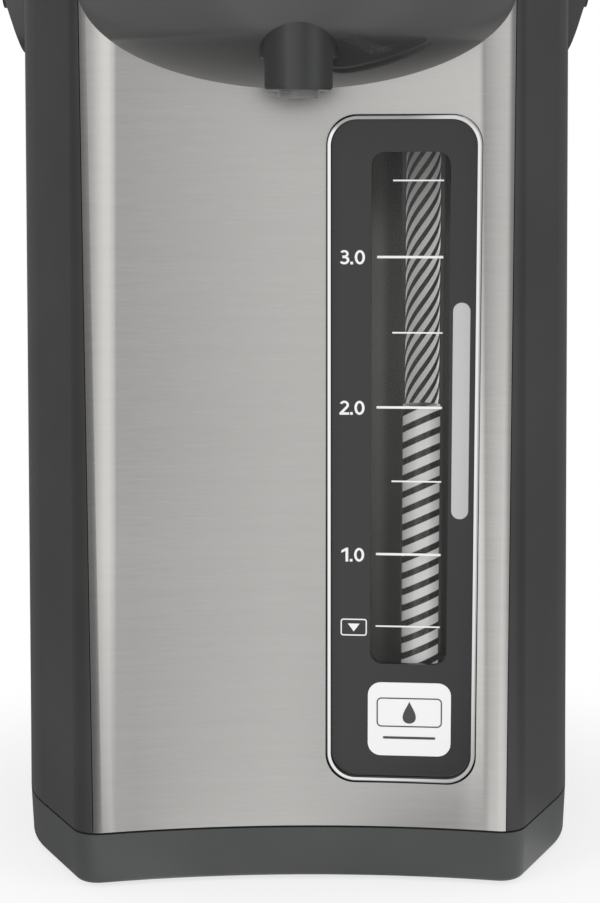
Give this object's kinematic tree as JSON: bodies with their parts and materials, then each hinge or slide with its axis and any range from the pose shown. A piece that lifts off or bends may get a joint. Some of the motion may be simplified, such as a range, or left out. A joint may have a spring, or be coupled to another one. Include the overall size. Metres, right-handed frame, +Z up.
{
  "type": "electric thermo pot",
  "caption": "Free-standing hot-water dispenser with a hollow steel front, a tall water gauge, a spout under a rounded nose, a hinged lid and a carrying handle.",
  "frame": {"origin": "on the floor under the middle of the whole pot", "axes": "+Z up, -Y towards the user in front of the spout, +X to the user's right, where the water gauge is"},
  "size_m": [0.209, 0.2698, 0.338],
  "materials": {
    "base_plastic": "satin dark grey-green moulding",
    "black_rubber": "matt",
    "case_plastic": "fine satin dark grey",
    "brushed_panel": "horizontal brushing",
    "bright_rim": "polished",
    "gauge_print": "satin with plain white marks",
    "smoked_pane": "clear smoked",
    "dark_inner_plastic": "matt",
    "white_card": "white with slanting stripes",
    "clear_glass": "clear",
    "silicone": "translucent grey",
    "inner_plastic": "natural grey",
    "steel_small": "plain",
    "container_steel": "fine satin",
    "insulation": "felted",
    "cast_aluminium": "as cast",
    "hull_gloss": "high gloss dark grey",
    "spout_plastic": "gloss dark grey",
    "clear_plastic": "clear",
    "head_gloss": "gloss dark grey",
    "fascia_gloss": "gloss near black",
    "display_pane": "clear",
    "display_grey": "grey-green liquid crystal",
    "circuit_board": "green",
    "lid_plastic": "satin dark grey",
    "vent_plastic": "matt",
    "lever_plastic": "satin mid grey",
    "handle_plastic": "satin dark grey",
    "pin_plastic": "satin",
    "brass_contacts": "plain",
    "key_plastic": "satin grey"
  },
  "bodies": {
    "body": {"base_shell": "base_plastic", "bottom_cover": "base_plastic", "seam_gasket": "black_rubber", "side_casing": "case_plastic", "front_panel": "brushed_panel", "gauge_bezel": "bright_rim", "gauge_plate": "gauge_print", "gauge_window": "smoked_pane", "gauge_trough": "dark_inner_plastic", "stripe_card": "white_card", "sight_tube": "clear_glass", "tube_seal": "silicone", "tip_over_valve": "inner_plastic", "valve_ball": "steel_small", "container": "container_steel", "insulation_jacket": "insulation", "heater_plate": "cast_aluminium", "thermostat": "steel_small", "thermal_fuse": "steel_small", "pump_body": "inner_plastic", "pump_cover": "inner_plastic", "motor": "steel_small", "outlet_hose": "silicone", "outlet_pipe": "inner_plastic", "hull": "hull_gloss", "spout_housing": "spout_plastic", "nozzle": "clear_plastic", "head_housing": "head_gloss", "control_fascia": "fascia_gloss", "display_window": "display_pane", "display_panel": "display_grey", "control_board": "circuit_board", "shoulder_ring": "case_plastic", "hinge_pin": "steel_small", "handle_pin_left": "pin_plastic", "handle_pin_right": "pin_plastic", "inlet_housing": "dark_inner_plastic", "inlet_pins": "brass_contacts", "inlet_plates": "steel_small", "power_board": "circuit_board", "foot_1": "black_rubber", "foot_2": "black_rubber", "foot_3": "black_rubber", "foot_4": "black_rubber"},
    "lid": {"lid_cover": "lid_plastic", "lid_base": "inner_plastic", "inner_lid": "container_steel", "lid_gasket": "silicone", "steam_duct": "silicone", "vent_cap": "vent_plastic"},
    "lever": {"latch_lever": "lever_plastic"},
    "bolt": {"latch_bolt": "inner_plastic"},
    "handle": {"carry_handle": "handle_plastic"},
    "rotor": {"motor_rotor": "steel_small"},
    "impeller": {"pump_impeller": "inner_plastic"},
    "dispense_key": {"key_dispense": "key_plastic"},
    "unlock_key": {"key_unlock": "key_plastic"},
    "reboil_key": {"key_reboil": "key_plastic"},
    "temperature_key": {"key_temperature": "key_plastic"},
    "timer_key": {"key_timer": "key_plastic"}
  },
  "joints": [
    {"name": "lid_hinge", "type": "hinge", "parent": "body", "child": "lid", "pos_m": [0, 0.10995, 0.3115], "axis": [-1, 0, 0], "range_deg": [0, 90]},
    {"name": "latch_lever_hinge", "type": "hinge", "parent": "lid", "child": "lever", "pos_m": [0, -0.02758, 0.33], "axis": [-1, 0, 0], "range_deg": [0, 22]},
    {"name": "latch_bolt_slide", "type": "slide", "parent": "lid", "child": "bolt", "axis": [0, 1, 0], "range_m": [0, 0.004], "stiffness_N_per_m": 50, "springref_m": -0.004},
    {"name": "handle_hinge", "type": "hinge", "parent": "body", "child": "handle", "pos_m": [0, 0.01645, 0.296], "axis": [1, 0, 0], "range_deg": [0, 90]},
    {"name": "dispense_key_press", "type": "slide", "parent": "body", "child": "dispense_key", "axis": [0, 0.3746, -0.9272], "range_m": [0, 0.001], "stiffness_N_per_m": 500, "springref_m": -0.0006},
    {"name": "unlock_key_press", "type": "slide", "parent": "body", "child": "unlock_key", "axis": [0, 0.3746, -0.9272], "range_m": [0, 0.001], "stiffness_N_per_m": 500, "springref_m": -0.0006},
    {"name": "reboil_key_press", "type": "slide", "parent": "body", "child": "reboil_key", "axis": [0, 0.3746, -0.9272], "range_m": [0, 0.001], "stiffness_N_per_m": 500, "springref_m": -0.0006},
    {"name": "temperature_key_press", "type": "slide", "parent": "body", "child": "temperature_key", "axis": [0, 0.3746, -0.9272], "range_m": [0, 0.001], "stiffness_N_per_m": 500, "springref_m": -0.0006},
    {"name": "timer_key_press", "type": "slide", "parent": "body", "child": "timer_key", "axis": [0, 0.3746, -0.9272], "range_m": [0, 0.001], "stiffness_N_per_m": 500, "springref_m": -0.0006},
    {"name": "motor_spin", "type": "hinge", "parent": "body", "child": "rotor", "pos_m": [-0.024, -0.03155, 0.0332], "axis": [0, 0, 1], "continuous": true},
    {"name": "impeller_spin", "type": "hinge", "parent": "body", "child": "impeller", "pos_m": [-0.024, -0.03155, 0.0332], "axis": [0, 0, 1], "continuous": true}
  ],
  "couplings": [
    {"joint": "latch_lever_hinge", "follows": "latch_bolt_slide", "rad_per_m": 95.9},
    {"joint": "impeller_spin", "follows": "motor_spin", "ratio": 1}
  ]
}
